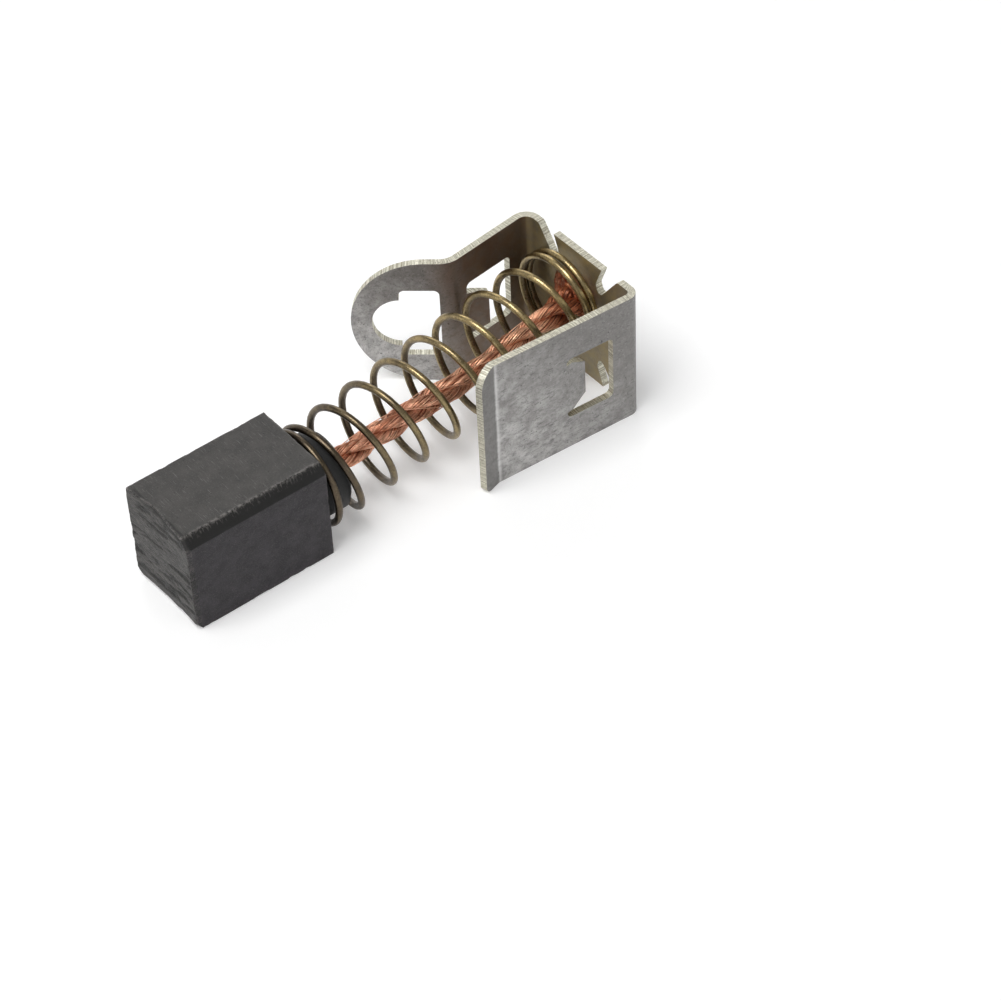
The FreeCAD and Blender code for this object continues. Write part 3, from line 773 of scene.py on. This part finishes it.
def weld_mesh():
    """Rings from the rim to the middle; the height is a flattened dome plus rough patches,
    and the rim wobbles."""
    rings, around = 60, 128
    share = np.linspace(1, 0.012, rings)
    angle = circle(around)
    wobble = 0.975 + 0.018 * np.sin(3 * angle + 1) + 0.006 * np.sin(11 * angle)
    reach = WELD_RADIUS * share[:, None] * wobble[None, :]
    y = WELD_MIDDLE[0] + reach * np.cos(angle)
    z = WELD_MIDDLE[1] + reach * np.sin(angle)
    dome = 0.68 * (1 - share**5)[:, None]
    crust = 0.34 * layered(y / (0.8 * MM) + 20, z / (0.8 * MM) + 20, 3)
    lift = np.clip(dome + crust * (1 - share**6)[:, None], 0.02, 0.98)
    x = WEB_INNER - WELD_HEIGHT * lift
    points = np.stack([x, y, z], -1).reshape(-1, 3)
    mesh = mesh_of("weld_button", points, *ring_faces(rings, around, flipped=True))
    across = round(2 * WELD_RADIUS / MM, 2)
    print("weld button is", across, "mm across,", triangles(mesh), "triangles")
    return mesh


# %% Weld finish


def burnt_copper():
    """Fused copper: red brown glaze with dark oxide in its hollows, and pale, glossier spots
    painted as sparkle highlights."""
    finish = Finish("burnt_copper", (0.16, 0.07, 0.04), 0.9, 0.4)
    crust = finish.lumps(0.4 * MM, 5, 0.65)
    # Painted sparkle: pale spots on the glaze, which are also glossier.
    painted_sparkle = finish.stepped(crust, 0.52, 0.66)
    cloud = finish.stepped(finish.lumps(0.9 * MM, 2), 0.35, 0.65)
    glaze = finish.blended(cloud, (0.2, 0.06, 0.028), (0.42, 0.13, 0.055))
    finish.colour(finish.blended(painted_sparkle, glaze, (0.7, 0.36, 0.18)))
    finish.gloss(finish.stepped(crust, 0.35, 0.65, 0.48, 0.22))
    finish.relief(finish.lumps(0.16 * MM, 4), 0.06 * MM)
    return finish.material


weld = piece_of("weld_button", weld_mesh(), burnt_copper())
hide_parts("shunt_weld")
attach(weld, "terminal")

# %% [markdown]
# ## Graphite block
#
# The block is pressed from powder and ground to size. One closed surface covers it: rings
# start at the middle of the contact face, run out to its edges, go back along the sides,
# close in to the round boss and end inside the rope's bore. Every ring has the same number
# of points, so a rectangle can turn into a circle without a seam.

# %% Block surface
BEVEL = 0.65 * MM
FACE_RADIUS = 38.0 * MM
FACE_EDGE = 0.4 * MM
BOSS_RADIUS = 2.75 * MM
BOSS_BEVEL = 0.25 * MM
BORE_RADIUS = 1.15 * MM
CORNER = 0.07 * MM
half_width = (block_high[1] - block_low[1]) / 2
TOP, BOTTOM, FAR, NEAR, CONTACT, REAR, SLOPE = range(7)


def softened(corners, radius, steps=5):
    """A polygon with every corner replaced by an arc of that radius: the arc's centre is
    where the two sides, both moved inwards by the radius, cross."""
    made = []
    count = len(corners)
    for i in range(count):
        before, here, after = corners[i - 1], corners[i], corners[(i + 1) % count]
        to_before, to_after = unit(np.array([before - here, after - here]))
        half = math.acos(float(to_before @ to_after)) / 2
        middle = to_before + to_after
        centre = here + middle / np.linalg.norm(middle) * radius / math.sin(half)
        start, end = (here + way * radius / math.tan(half) for way in (to_before, to_after))
        share = np.linspace(0, 1, steps)[:, None]
        chord = start - centre + (end - start) * share
        made.append(centre + unit(chord) * radius)
    return made


def block_outline(spacing):
    """The section's outline, walked once round, with a point at least every `spacing`.
    Two opposite long edges are bevelled."""
    low, high, side = block_low[2], block_high[2], half_width
    corners = np.array([
        (side, high), (-side + BEVEL, high), (-side, high - BEVEL),
        (-side, low), (side - BEVEL, low), (side, low + BEVEL),
    ])
    arcs = softened(corners, CORNER)
    walked = []
    for i, arc in enumerate(arcs):
        following = arcs[(i + 1) % len(arcs)]
        run = np.linalg.norm(following[0] - arc[-1])
        steps = max(int(run / spacing), 1)
        share = np.linspace(0, 1, steps + 1)[1:-1, None]
        walked += [arc, arc[-1] + (following[0] - arc[-1]) * share]
    return np.concatenate(walked)


def face_place(y, z):
    """X of the contact face at a place: a large upright cylinder hollows it across, deepest
    in the middle, and its lowest edge is worn round."""
    hollow = np.sqrt(FACE_RADIUS**2 - y**2) - math.sqrt(FACE_RADIUS**2 - half_width**2)
    low = np.clip(FACE_EDGE - (z - block_low[2]), 0, FACE_EDGE)
    return block_low[0] + hollow + FACE_EDGE - np.sqrt(FACE_EDGE**2 - low**2)


def block_planes(points):
    """Distances from the block's eight large faces, in the order of the names above; the
    last two are the bevels."""
    x, y, z = points.T
    slant = math.sqrt(0.5)
    reach = 2 * half_width - BEVEL
    return np.abs(np.stack([
        block_high[2] - z,
        z - block_low[2],
        half_width - y,
        half_width + y,
        x - face_place(*(np.clip(v, block_low[k], block_high[k]) for v, k in ((y, 1), (z, 2)))),
        BLOCK_REAR - x,
        (reach + y - half_width + block_high[2] - z) * slant,
        (reach - y - half_width + z - block_low[2]) * slant,
    ]))


def edge_distance(points):
    """On any face the nearest plane is zero away, so the second smallest distance to a plane
    is the distance to an edge."""
    return np.sort(block_planes(points), axis=0)[1]


def grooves(y, z):
    """Depths from 0 to 1 of the grooves that the commutator has worn across the contact
    face: patches about 2 mm long and a fifth of a millimetre high, leaning a little."""
    leaning = z + 0.16 * y
    coarse = layered(y / (1.7 * MM) + 11, leaning / (0.34 * MM) + 30, 21)
    return np.clip(1.3 * coarse - 0.05, 0, 1)


def worn(points):
    """The same points after wear: grooves in the contact face, a little of its top edge
    broken off, its lowest corner ground away by a slanting plane, and small chips along
    every edge."""
    x, y, z = points.T
    planes = block_planes(points)
    on_contact = np.clip(1 - planes[CONTACT] / (0.05 * MM), 0, 1)
    inside = np.clip(edge_distance(points) / (0.25 * MM), 0.3, 1)
    depth = 0.1 * MM * grooves(y, z) * on_contact * inside
    broken = 0.26 * MM * np.exp(-(((y - 0.5 * MM) / (1.3 * MM)) ** 2))
    broken *= np.clip(1 - (block_high[2] - z) / (1.5 * MM), 0, 1) ** 2
    broken *= np.clip(1 - (x - block_low[0]) / (1.5 * MM), 0, 1)
    on_block = np.clip((BLOCK_REAR + 0.1 * MM - x) / (0.1 * MM), 0, 1)
    near_edge = np.clip(1 - edge_distance(points) / (0.16 * MM), 0, 1) ** 1.5 * on_block
    chip = np.clip(layered(x / (0.6 * MM) + 70, (y + z) / (0.6 * MM) + 40, 5) - 0.15, 0, 1)
    inward = unit(np.array((block_low[0] + BLOCK_LENGTH / 2, 0, BLOCK_AXIS)) - points)
    moved = points + inward * (0.07 * MM * chip * near_edge)[:, None]
    moved[:, 0] += depth + broken
    corner = np.array((block_low[0], -half_width, block_low[2]))
    slant = 1 / np.array((0.45, 1.2, 0.75)) / MM
    short_of_plane = 1 - (moved - corner) @ slant
    return moved + np.clip(short_of_plane, 0, 1)[:, None] * slant / (slant @ slant)


def block_mesh():
    """Rings of the outline's points, each moved towards a circle or the middle by a share."""
    outline = block_outline(0.12 * MM)
    centre = np.array((0.0, BLOCK_AXIS))
    angle = np.arctan2(outline[:, 1] - centre[1], outline[:, 0] - centre[0])
    ring = np.column_stack([np.cos(angle), np.sin(angle)])
    rows = []

    def row(section, x):
        rows.append(np.column_stack([np.broadcast_to(x, len(section)), section]))

    for share in np.concatenate([np.linspace(0.02, 0.975, 44), [0.985, 0.991]]):
        section = centre + (outline - centre) * share
        row(section, face_place(*section.T))
    soft = np.linspace(0, math.pi / 2, 5)
    for turn in soft:
        inset = 1 - CORNER * (1 - math.sin(turn)) / half_width
        section = centre + (outline - centre) * inset
        row(section, face_place(*section.T) + CORNER * (1 - math.cos(turn)))
    front = face_place(*outline.T) + CORNER
    for share in np.linspace(0, 1, 86)[1:]:
        row(outline, front + (BLOCK_REAR - CORNER - front) * share)
    for turn in soft[1:]:
        inset = 1 - CORNER * (1 - math.cos(turn)) / half_width
        row(centre + (outline - centre) * inset, BLOCK_REAR - CORNER * (1 - math.sin(turn)))
    edge = rows[-1][:, 1:]
    for share in np.linspace(0, 1, 12)[1:]:
        row(edge + (centre + ring * BOSS_RADIUS - edge) * share, BLOCK_REAR)
    boss_end = block_high[0]
    straight, rim = BOSS_LENGTH - BOSS_BEVEL, BOSS_RADIUS - BOSS_BEVEL
    for x, reach in (
        *[(BLOCK_REAR + share * straight, BOSS_RADIUS) for share in np.linspace(0.02, 1, 14)],
        (boss_end - BOSS_BEVEL * 0.5, BOSS_RADIUS - BOSS_BEVEL * 0.5),
        *[(boss_end, BORE_RADIUS + (rim - BORE_RADIUS) * s) for s in (1, 0.75, 0.5, 0.25, 0)],
        (boss_end - 0.3 * MM, BORE_RADIUS),
        (boss_end - 1.5 * MM, BORE_RADIUS),
    ):
        row(centre + ring * reach, x)
    points = np.concatenate(rows)
    around = len(outline)
    mesh = mesh_of("graphite_block", worn(points), *ring_faces(len(rows), around, flipped=True))
    print("block has", len(rows), "rings of", around, "points,", triangles(mesh), "triangles")
    return mesh, points


block_skin, unworn = block_mesh()

# %% [markdown]
# The finish has to know where edges, bevels and grooves are. These are kept with the points
# as they were before the wear, because only there every face is still flat.

# %% Values for the graphite finish
def near_edges(planes, edges, width):
    """1 on the named edges, falling to 0 at that width beside them; an edge is named by the
    two planes that meet there and a strength."""
    gaps = [(strength, np.maximum(planes[a], planes[b])) for a, b, strength in edges]
    return np.max([strength * np.clip(1 - gap / width, 0, 1) for strength, gap in gaps], axis=0)


planes = block_planes(unworn)
# Painted highlights along the block's edges, strongest on the top edges.
highlit_edges = (
    (TOP, CONTACT, 1.0), (TOP, SLOPE, 0.9), (TOP, REAR, 0.8), (NEAR, CONTACT, 0.5),
    (FAR, CONTACT, 0.4), (BOTTOM, CONTACT, 0.5), (NEAR, REAR, 0.3), (TOP, FAR, 0.3),
)
store(block_skin, "painted_light", near_edges(planes, highlit_edges, 0.12 * MM))
behind_front = unworn[:, 0] - block_low[0] > 0.3 * MM
bevel = np.clip(1 - planes[SLOPE:].min(0) / (0.03 * MM), 0, 1) * behind_front
store(block_skin, "bevel", bevel)
store(block_skin, "ticks", bevel * np.clip(1.5 - planes[TOP] / (0.25 * MM), 0, 1))
# Painted shade: the near side of the block is darker and cooler.
store(block_skin, "near_side_shade", np.clip(1 - planes[NEAR] / (0.03 * MM), 0, 1))
store(block_skin, "groove", grooves(unworn[:, 1], unworn[:, 2]))
store(block_skin, "boss", np.clip((unworn[:, 0] - BLOCK_REAR) / (0.05 * MM), 0, 1))
print("block's values", sorted(a.name for a in block_skin.attributes if a.domain == "POINT"))

# %% Graphite finish


def pressed_graphite():
    """Warm dark grey with a faint sheen, fine pale scratches and pits, near black on the
    bevels and the boss, paler along the edges as painted highlights, darker and cooler on
    the near side and in the worn grooves as painted shade, and torn across the contact face."""
    finish = Finish("pressed_graphite", grey(0.05, 0.04), 0.0, 0.5)
    finish.shader.inputs["Specular IOR Level"].default_value = 0.3
    grain = finish.lumps(0.08 * MM, 4, 0.62)
    cloud = finish.lumps(1.1 * MM, 5, 0.62)
    clouds = finish.stepped(cloud, 0.35, 0.65)
    finish.painted = finish.blended(clouds, grey(0.042, 0.05), grey(0.06, 0.06))
    # Painted shade on the near side: darker and cooler.
    cloudy = finish.stepped(cloud, 0.4, 0.62)
    near_side_shade = finish.blended(cloudy, (0.021, 0.018, 0.022), (0.041, 0.036, 0.042))
    finish.coat(finish.attribute("near_side_shade"), near_side_shade)
    finish.coat(finish.stepped(grain, 0.52, 0.72, 0.0, 0.6), grey(0.11, 0.05))
    pits = finish.stepped(finish.lumps(0.14 * MM, 3, 0.55), 0.3, 0.38, 0.8, 0.0)
    finish.coat(pits, grey(0.016, 0.0))
    turns = ((9, 0.06, 0.64), (-12, 0.05, 0.67), (60, 0.07, 0.72), (-40, 0.06, 0.72))
    kinds = [((turn * 0.4, 0, turn), width, low) for turn, width, low in turns]
    scratch = finish.scratches((1.0, 0.08, 1.0), kinds, 0.07, 0.5)
    finish.coat(scratch, grey(0.15, 0.04))
    front = float(block_low[0])
    on_face = finish.stepped(finish.coordinate("X"), front + 0.36 * MM, front + 0.46 * MM, 1.0, 0.0)
    torn_place = finish.stretched((1.0, 0.28, 1.0), (-9, 0, 0))
    torn = finish.lumps(0.15 * MM, 5, 0.68, torn_place)
    pale = finish.times(finish.stepped(torn, 0.5, 0.62), on_face)
    finish.coat(finish.times(pale, 0.6), grey(0.12, 0.08))
    torn_dark = finish.times(finish.stepped(torn, 0.46, 0.36), on_face)
    finish.coat(finish.times(torn_dark, 0.8), grey(0.02, 0.05))
    # Painted shade: the worn grooves in the contact face are darker.
    groove = finish.stepped(finish.attribute("groove"), 0.1, 0.45, 0.0, 0.75)
    finish.coat(finish.times(groove, on_face), grey(0.02, 0.03))
    dark = finish.attribute("bevel")
    finish.coat(finish.times(dark, 0.92), grey(0.005, 0.05))
    # Pale ticks along the bevel's top edge: chips as bump, with their jagged highlights painted.
    tick_place = finish.stretched((1.0, 0.3, 0.3), (0, 42, 0))
    ticks = finish.stepped(finish.lumps(0.12 * MM, 3, 0.6, tick_place), 0.56, 0.64)
    ticks = finish.times(ticks, finish.attribute("ticks"))
    finish.coat(ticks, grey(0.085, 0.06))
    finish.coat(finish.times(finish.attribute("boss"), 0.8), grey(0.012, -0.05))
    # Painted highlights along the edges, broken where the edge is chipped.
    chipped = finish.stepped(finish.lumps(0.2 * MM, 4, 0.7), 0.42, 0.58)
    painted_light = finish.times(finish.attribute("painted_light"), chipped)
    finish.coat(painted_light, grey(0.2, 0.06))
    finish.colour(finish.painted)
    burnished = finish.stepped(dark, 0.0, 1.0, 0.0, -0.1)
    finish.gloss(finish.sum_of(finish.stepped(grain, 0.3, 0.7, 0.42, 0.62), burnished))
    height = finish.sum_of(grain, finish.times(finish.times(torn, 5.0), on_face))
    for mark, share in ((ticks, 1.2), (painted_light, -0.8), (pits, -0.7)):
        height = finish.sum_of(height, finish.times(mark, share))
    finish.relief(height, 0.022 * MM, 0.9)
    return finish.material


block = piece_of("graphite_block", block_skin, pressed_graphite())
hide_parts("carbon_block")
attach(block, "brush")

# %% [markdown]
# ## Tamped plug
#
# Copper powder is tamped round the rope in its bore. Its ring is a finished solid already,
# so it only gets a dull, grainy copper brown.

# %% Plug finish


def tamped_powder():
    """Pressed copper powder: matte brown grains with a few bright ones."""
    finish = Finish("tamped_powder", (0.12, 0.075, 0.055), 0.6, 0.6)
    grains = finish.stepped(finish.lumps(0.07 * MM, 3, 0.6), 0.45, 0.7)
    finish.colour(finish.blended(grains, (0.07, 0.045, 0.035), (0.3, 0.16, 0.1)))
    finish.relief(finish.lumps(0.1 * MM, 3), 0.03 * MM)
    return finish.material


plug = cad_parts["tamping_plug"]
plug.data.materials.clear()
plug.data.materials.append(tamped_powder())

# %% [markdown]
# ## Clip
#
# The clip is punched and folded from one strip of plated sheet. Its solid has the right
# folds and holes but razor edges, so a welded copy of it gets small bevels. Three things
# are kept with it for the finish: how far along the strip each corner lies, which faces
# were cut by the punch, because a cut edge shows bare metal with fine shear marks, and
# which lie inside the fold, where the sheet is painted olive and brown as shade and as
# reflected copper and spring.

# %% Strip walked from tip to tip
CLIP_HALF_WIDTH = 5.75 * MM
PLAIN_TOE, LEAD_IN_TURN, TONGUE_TOE, FLAP_TURN = 3.7, 20.0, 6.3, 47.0
PLAIN_LENGTH, LEAD_IN_LENGTH = 11.35 * MM, 1.3 * MM
TONGUE_LENGTH, FLAP_LENGTH = 7.3 * MM, 6.45 * MM
SAME_PLACE = 0.002 * MM
TURNED_AWAY = 0.6
SOFT_EDGE = 0.075 * MM


def strip_path():
    """Corners of the strip's outer side in plan, from the plain arm's tip to the flap's. The
    arms run back from the web and lean in by their toe; lead-in and flap turn on from there."""
    def onward(start, degrees, distance):
        turn = math.radians(degrees)
        return start + distance * np.array((math.cos(turn), math.sin(turn)))

    plain_corner = np.array((0.0, -CLIP_HALF_WIDTH))
    tongue_corner = np.array((0.0, CLIP_HALF_WIDTH))
    crease = onward(plain_corner, 180 - PLAIN_TOE, PLAIN_LENGTH)
    tip = onward(crease, 180 - PLAIN_TOE + LEAD_IN_TURN, LEAD_IN_LENGTH)
    flap_crease = onward(tongue_corner, 180 + TONGUE_TOE, TONGUE_LENGTH)
    flap_tip = onward(flap_crease, 180 + TONGUE_TOE - FLAP_TURN, FLAP_LENGTH)
    return np.array([tip, crease, plain_corner, tongue_corner, flap_crease, flap_tip])


def strip_place(points):
    """For each point: the distance along the strip of its nearest place on the path, and the
    direction square to the strip there."""
    path = strip_path()
    starts, runs = path[:-1], np.diff(path, axis=0)
    lengths = np.linalg.norm(runs, axis=1)
    ways = runs / lengths[:, None]
    before = np.concatenate([[0], np.cumsum(lengths)[:-1]])
    rel = points[:, None, :2] - starts[None]
    along = np.clip((rel * ways).sum(-1), 0, lengths)
    gap = np.linalg.norm(rel - along[..., None] * ways, axis=-1)
    best = gap.argmin(1)
    row = np.arange(len(points))
    square = np.column_stack([-ways[best, 1], ways[best, 0]])
    return before[best] + along[row, best], square


def clip_mesh():
    """A welded copy of the clip's solid with flat regions joined into single faces."""
    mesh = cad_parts["clip"].data.copy()
    mesh.name = "folded_clip"
    work = bmesh.new()
    work.from_mesh(mesh)
    bmesh.ops.remove_doubles(work, verts=work.verts, dist=SAME_PLACE)
    one_degree = math.radians(1.0)
    bmesh.ops.dissolve_limit(work, angle_limit=one_degree, verts=work.verts, edges=work.edges)
    work.to_mesh(mesh)
    work.free()
    mesh.polygons.foreach_set("use_smooth", np.ones(len(mesh.polygons), bool))
    mesh.materials.clear()
    for old in list(mesh.attributes):
        if old.domain == "CORNER" and old.name not in ("", ".corner_vert", ".corner_edge"):
            mesh.attributes.remove(old)
    return mesh


strip_lengths = np.linalg.norm(np.diff(strip_path(), axis=0), axis=1) / MM
LEAD_END, PLAIN_END, WEB_END, TONGUE_END, _ = (float(v) for v in np.cumsum(strip_lengths))
print("strip bends at mm", round(PLAIN_END, 2), round(WEB_END, 2), round(TONGUE_END, 2))
clip_skin = clip_mesh()
clip_points = read(clip_skin.vertices, "co")
along_strip, _ = strip_place(clip_points)
corner_vertex = np.empty(len(clip_skin.loops), np.int32)
clip_skin.loops.foreach_get("vertex_index", corner_vertex)
strip_map = clip_skin.uv_layers.new(name="strip")
uv = np.column_stack([along_strip[corner_vertex], clip_points[corner_vertex, 2]]) / MM
strip_map.data.foreach_set("uv", uv.astype(np.float32).ravel())

_, square = strip_place(read(clip_skin.polygons, "center"))
facing = (read(clip_skin.polygons, "normal")[:, :2] * square).sum(1)
punched, within = np.abs(facing) < TURNED_AWAY, facing > TURNED_AWAY
store(clip_skin, "punched", punched, "FACE")
store(clip_skin, "within", within, "FACE")
print("clip has", len(facing), "faces,", punched.sum(), "punched,", within.sum(), "inside")

# %% Clip finish


def plated_sheet():
    """Satin plated steel: mid grey, darkened upwards and towards the web as painted shade, so
    paler at the plain arm's low end, with fine dark pits, short scratches and smears; painted
    shade and painted reflection in olive and brown within the fold; painted shade on the
    lead-in and a painted highlight along its crease; punched edges are bare and sheared."""
    finish = Finish("plated_sheet", grey(0.5, 0.01), 0.75, 0.4)
    cloud = finish.lumps(0.9 * MM, 5, 0.62)
    clouds = finish.stepped(cloud, 0.36, 0.62)
    finish.painted = finish.blended(clouds, grey(0.34, 0.03), grey(0.55, 0.02))
    # Painted shade: the sheet darkens upwards and towards the web.
    up_and_back = finish.sum_of(finish.coordinate("X"), finish.coordinate("Z"))
    painted_shade_gradient = finish.stepped(up_and_back, -13.0 * MM, -1.0 * MM, 0.0, 0.85)
    finish.coat(painted_shade_gradient, grey(0.17, 0.05))
    smear_place = finish.stretched((0.5, 1.0, 1.0), (0, 48, 0))
    smear = finish.stepped(finish.lumps(0.4 * MM, 6, 0.72, smear_place), 0.5, 0.66, 0.0, 0.7)
    finish.coat(smear, grey(0.19, 0.03))
    mottle = finish.lumps(0.15 * MM, 4, 0.65)
    finish.coat(finish.stepped(mottle, 0.54, 0.68, 0.0, 0.45), grey(0.16, 0.04))
    finish.coat(finish.stepped(mottle, 0.42, 0.3, 0.0, 0.35), grey(0.5, 0.02))
    pits = finish.stepped(finish.lumps(0.17 * MM, 3, 0.6), 0.64, 0.7, 0.0, 0.95)
    finish.coat(pits, grey(0.07, 0.04))
    turns = ((-28, 0.07, 0.64), (33, 0.06, 0.66), (62, 0.07, 0.68))
    kinds = [((0, turn, 0), width, low) for turn, width, low in turns]
    scratch = finish.scratches((0.08, 1.0, 1.0), kinds, 0.06, 0.75)
    finish.coat(scratch, grey(0.12, 0.02))
    strip = finish.add("ShaderNodeUVMap", uv_map="strip").outputs["UV"]
    along = finish.coordinate("X", strip)
    # Painted shade: the bent lead-in is darker.
    tip_shade = finish.stepped(along, LEAD_END - 0.1, LEAD_END, 0.75, 0.0)
    finish.coat(tip_shade, grey(0.15, 0.04))
    # Painted highlight: a pale line along the lead-in's crease.
    crease = finish.stepped(along, LEAD_END, LEAD_END + 0.08, 0.0, 0.55)
    crease = finish.times(crease, finish.stepped(along, LEAD_END + 0.1, LEAD_END + 0.3, 1.0, 0.0))
    finish.coat(crease, grey(0.75, 0.01))
    from_tip = finish.stepped(along, PLAIN_END - 0.5, PLAIN_END + 2.0)
    to_flap = finish.stepped(along, TONGUE_END - 1.0, TONGUE_END + 1.6, 1.0, 0.0)
    # Painted shade and painted reflection inside the fold: olive on the web, brown on the tongue arm.
    inside_shade = finish.attribute("within")
    for share in (from_tip, to_flap, finish.stepped(cloud, 0.35, 0.6, 0.55, 0.92)):
        inside_shade = finish.times(inside_shade, share)
    on_arm = finish.stepped(along, WEB_END - 1.5, WEB_END + 1.5)
    finish.coat(inside_shade, finish.blended(on_arm, (0.4, 0.32, 0.17), (0.2, 0.135, 0.09)))
    punched = finish.attribute("punched")
    # The strip's map is in millimetres, so these lumps are an eleventh of one.
    shear = finish.stepped(finish.lumps(1 / 11, 3, 0.5, strip), 0.42, 0.58)
    bare = finish.blended(shear, (0.4, 0.37, 0.28), (0.82, 0.8, 0.68))
    bare = finish.blended(finish.stepped(mottle, 0.52, 0.66, 0.0, 0.5), bare, (0.2, 0.18, 0.13))
    finish.coat(punched, bare)
    finish.colour(finish.painted)
    finish.gloss(finish.stepped(mottle, 0.3, 0.7, 0.34, 0.5))
    height = finish.sum_of(finish.lumps(0.2 * MM, 4, 0.6), finish.times(pits, -0.8))
    height = finish.sum_of(height, finish.times(scratch, -0.4))
    height = finish.sum_of(height, finish.times(shear, finish.times(punched, 1.5)))
    waves = finish.relief(finish.lumps(2.4 * MM, 1), 0.05 * MM, 0.6)
    finish.relief(height, 0.012 * MM, 0.9, waves)
    return finish.material


clip = piece_of("folded_clip", clip_skin, plated_sheet())
soft_edges = clip.modifiers.new("soft_edges", "BEVEL")
soft_edges.width = SOFT_EDGE
soft_edges.segments = 3
soft_edges.limit_method = "ANGLE"
soft_edges.angle_limit = math.radians(38)
soft_edges.harden_normals = True
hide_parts("clip")
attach(clip, "terminal")

# %% [markdown]
# ## Pieces that reach across the slide
#
# When the block is pushed in, the spring and the rope shorten. Both are blended between
# the two bodies, so their front ends follow the block and their rear ends stay at the web.

# %% Blend the spring and the rope
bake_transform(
    spring,
    "brush",
    "terminal",
    start=(BLOCK_REAR + 0.6 * MM, 0, BLOCK_AXIS),
    end=(WEB_INNER - 1.2 * MM, 0, BLOCK_AXIS),
)
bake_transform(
    rope,
    "brush",
    "terminal",
    start=(block_high[0], 0, BLOCK_AXIS),
    end=(weld_low[0] - 0.3 * MM, 0, BLOCK_AXIS),
)
